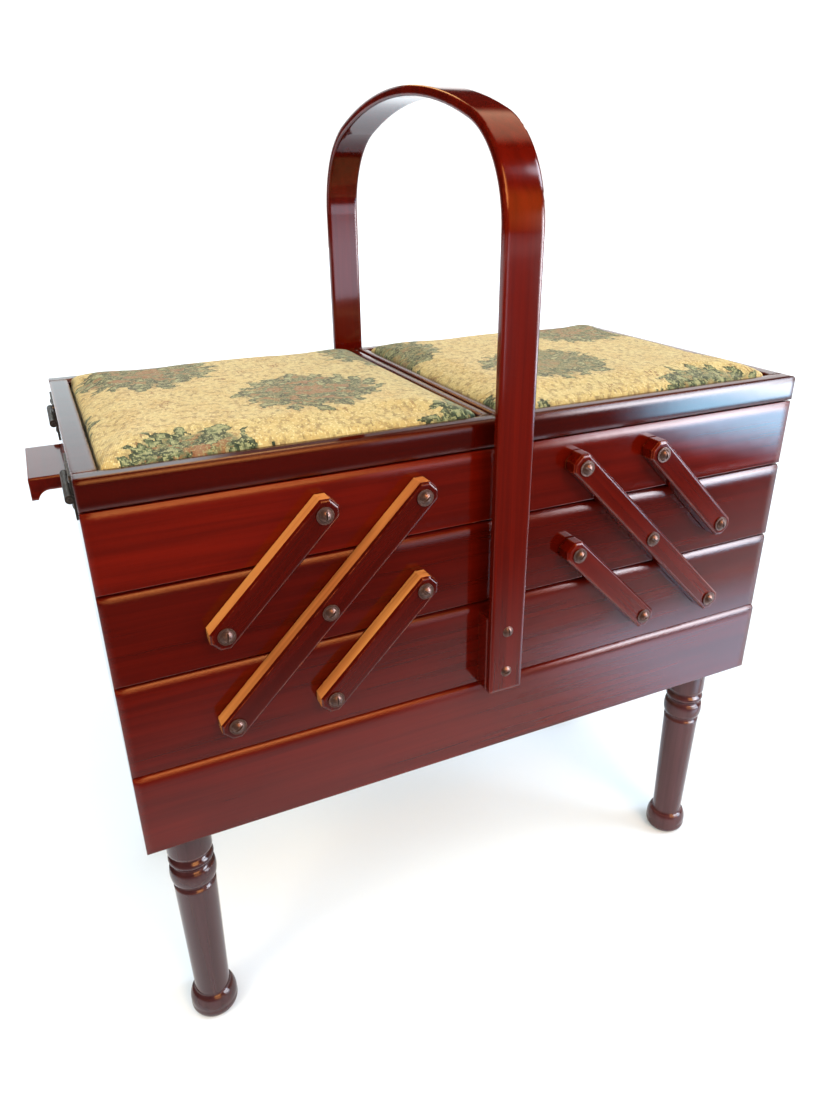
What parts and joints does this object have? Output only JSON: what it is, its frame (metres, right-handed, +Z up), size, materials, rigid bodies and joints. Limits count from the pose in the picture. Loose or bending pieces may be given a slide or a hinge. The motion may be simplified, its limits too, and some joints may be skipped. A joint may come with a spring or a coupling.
{
  "type": "cantilever sewing basket",
  "caption": "Wooden cantilever sewing basket on turned legs, with opening half trays, padded fabric lids and a bentwood handle.",
  "frame": {"origin": "on the floor, under the centre of the box", "axes": "+X along the length to the right, +Y to the back, +Z up"},
  "size_m": [0.492, 0.266, 0.5705],
  "materials": {
    "board_wood": "glossy dark red mahogany stain and lacquer",
    "lid_wood": "glossy dark red mahogany stain and lacquer",
    "arm_wood": "glossy dark red mahogany stain and lacquer",
    "handle_wood": "bent strip, glossy dark red mahogany stain",
    "leg_wood": "turned, glossy dark red-brown lacquer",
    "inner_ply": "plain unstained thin plywood",
    "lid_fabric": "padded woven cloth, cream with leaf and flower clusters",
    "dark_screws": "bronzed round-head screws and washers",
    "hinge_metal": "dull plated steel",
    "zinc_steel": "zinc-plated steel"
  },
  "bodies": {
    "base": {"base_bottom_panel": "inner_ply", "base_end_walls": "board_wood", "base_lower_long_walls": "board_wood", "base_pivot_screws": "dark_screws", "base_upper_long_walls": "board_wood", "handle": "handle_wood", "handle_screws": "dark_screws", "handle_spacer_blocks": "handle_wood", "leg_back_left": "leg_wood", "leg_back_right": "leg_wood", "leg_front_left": "leg_wood", "leg_front_right": "leg_wood", "leg_hanger_bolts": "zinc_steel", "leg_plates": "zinc_steel"},
    "left_long_arms": {"left_back_long_arm": "arm_wood", "left_front_long_arm": "arm_wood"},
    "left_middle_tray": {"left_middle_tray_bottom": "inner_ply", "left_middle_tray_end_walls": "board_wood", "left_middle_tray_long_walls": "board_wood", "left_middle_tray_pivot_screws": "dark_screws"},
    "left_top_tray": {"left_end_pull": "lid_wood", "left_hinge_pins": "hinge_metal", "left_hinge_tray_leaves": "hinge_metal", "left_hinge_tray_screws": "dark_screws", "left_top_tray_bottom": "inner_ply", "left_top_tray_end_walls": "board_wood", "left_top_tray_long_walls": "board_wood", "left_top_tray_pivot_screws": "dark_screws"},
    "left_lower_short_arms": {"left_back_lower_short_arm": "arm_wood", "left_front_lower_short_arm": "arm_wood"},
    "left_upper_short_arms": {"left_back_upper_short_arm": "arm_wood", "left_front_upper_short_arm": "arm_wood"},
    "left_lid": {"left_hinge_lid_leaves": "hinge_metal", "left_hinge_lid_screws": "dark_screws", "left_lid_frame": "lid_wood", "left_lid_pad": "lid_fabric", "left_lid_panel": "inner_ply"},
    "right_long_arms": {"right_back_long_arm": "arm_wood", "right_front_long_arm": "arm_wood"},
    "right_middle_tray": {"right_middle_tray_bottom": "inner_ply", "right_middle_tray_end_walls": "board_wood", "right_middle_tray_long_walls": "board_wood", "right_middle_tray_pivot_screws": "dark_screws"},
    "right_top_tray": {"right_end_pull": "lid_wood", "right_hinge_pins": "hinge_metal", "right_hinge_tray_leaves": "hinge_metal", "right_hinge_tray_screws": "dark_screws", "right_top_tray_bottom": "inner_ply", "right_top_tray_end_walls": "board_wood", "right_top_tray_long_walls": "board_wood", "right_top_tray_pivot_screws": "dark_screws"},
    "right_lower_short_arms": {"right_back_lower_short_arm": "arm_wood", "right_front_lower_short_arm": "arm_wood"},
    "right_upper_short_arms": {"right_back_upper_short_arm": "arm_wood", "right_front_upper_short_arm": "arm_wood"},
    "right_lid": {"right_hinge_lid_leaves": "hinge_metal", "right_hinge_lid_screws": "dark_screws", "right_lid_frame": "lid_wood", "right_lid_pad": "lid_fabric", "right_lid_panel": "inner_ply"}
  },
  "joints": [
    {"name": "left_cantilever", "type": "hinge", "parent": "base", "child": "left_long_arms", "pos_m": [-0.167, 0, 0.252], "axis": [0, -1, 0], "range_deg": [0, 90]},
    {"name": "left_middle_tray_pivot", "type": "hinge", "parent": "left_long_arms", "child": "left_middle_tray", "pos_m": [-0.11, 0, 0.309], "axis": [0, -1, 0], "range_deg": [-90, 0]},
    {"name": "left_top_tray_pivot", "type": "hinge", "parent": "left_long_arms", "child": "left_top_tray", "pos_m": [-0.053, 0, 0.366], "axis": [0, -1, 0], "range_deg": [-90, 0]},
    {"name": "left_lower_short_arm_pivot", "type": "hinge", "parent": "base", "child": "left_lower_short_arms", "pos_m": [-0.11, 0, 0.252], "axis": [0, -1, 0], "range_deg": [0, 90]},
    {"name": "left_upper_short_arm_pivot", "type": "hinge", "parent": "left_middle_tray", "child": "left_upper_short_arms", "pos_m": [-0.167, 0, 0.309], "axis": [0, -1, 0], "range_deg": [0, 90]},
    {"name": "left_lid_hinge", "type": "hinge", "parent": "left_top_tray", "child": "left_lid", "pos_m": [-0.2274, 0, 0.384], "axis": [0, -1, 0], "range_deg": [0, 105]},
    {"name": "right_cantilever", "type": "hinge", "parent": "base", "child": "right_long_arms", "pos_m": [0.167, 0, 0.252], "axis": [0, 1, 0], "range_deg": [0, 90]},
    {"name": "right_middle_tray_pivot", "type": "hinge", "parent": "right_long_arms", "child": "right_middle_tray", "pos_m": [0.11, 0, 0.309], "axis": [0, 1, 0], "range_deg": [-90, 0]},
    {"name": "right_top_tray_pivot", "type": "hinge", "parent": "right_long_arms", "child": "right_top_tray", "pos_m": [0.053, 0, 0.366], "axis": [0, 1, 0], "range_deg": [-90, 0]},
    {"name": "right_lower_short_arm_pivot", "type": "hinge", "parent": "base", "child": "right_lower_short_arms", "pos_m": [0.11, 0, 0.252], "axis": [0, 1, 0], "range_deg": [0, 90]},
    {"name": "right_upper_short_arm_pivot", "type": "hinge", "parent": "right_middle_tray", "child": "right_upper_short_arms", "pos_m": [0.167, 0, 0.309], "axis": [0, 1, 0], "range_deg": [0, 90]},
    {"name": "right_lid_hinge", "type": "hinge", "parent": "right_top_tray", "child": "right_lid", "pos_m": [0.2274, 0, 0.384], "axis": [0, 1, 0], "range_deg": [0, 105]}
  ],
  "couplings": [
    {"joint": "left_middle_tray_pivot", "follows": "left_cantilever", "ratio": -1},
    {"joint": "left_top_tray_pivot", "follows": "left_cantilever", "ratio": -1},
    {"joint": "left_lower_short_arm_pivot", "follows": "left_cantilever", "ratio": 1},
    {"joint": "left_upper_short_arm_pivot", "follows": "left_cantilever", "ratio": 1},
    {"joint": "right_middle_tray_pivot", "follows": "right_cantilever", "ratio": -1},
    {"joint": "right_top_tray_pivot", "follows": "right_cantilever", "ratio": -1},
    {"joint": "right_lower_short_arm_pivot", "follows": "right_cantilever", "ratio": 1},
    {"joint": "right_upper_short_arm_pivot", "follows": "right_cantilever", "ratio": 1}
  ]
}
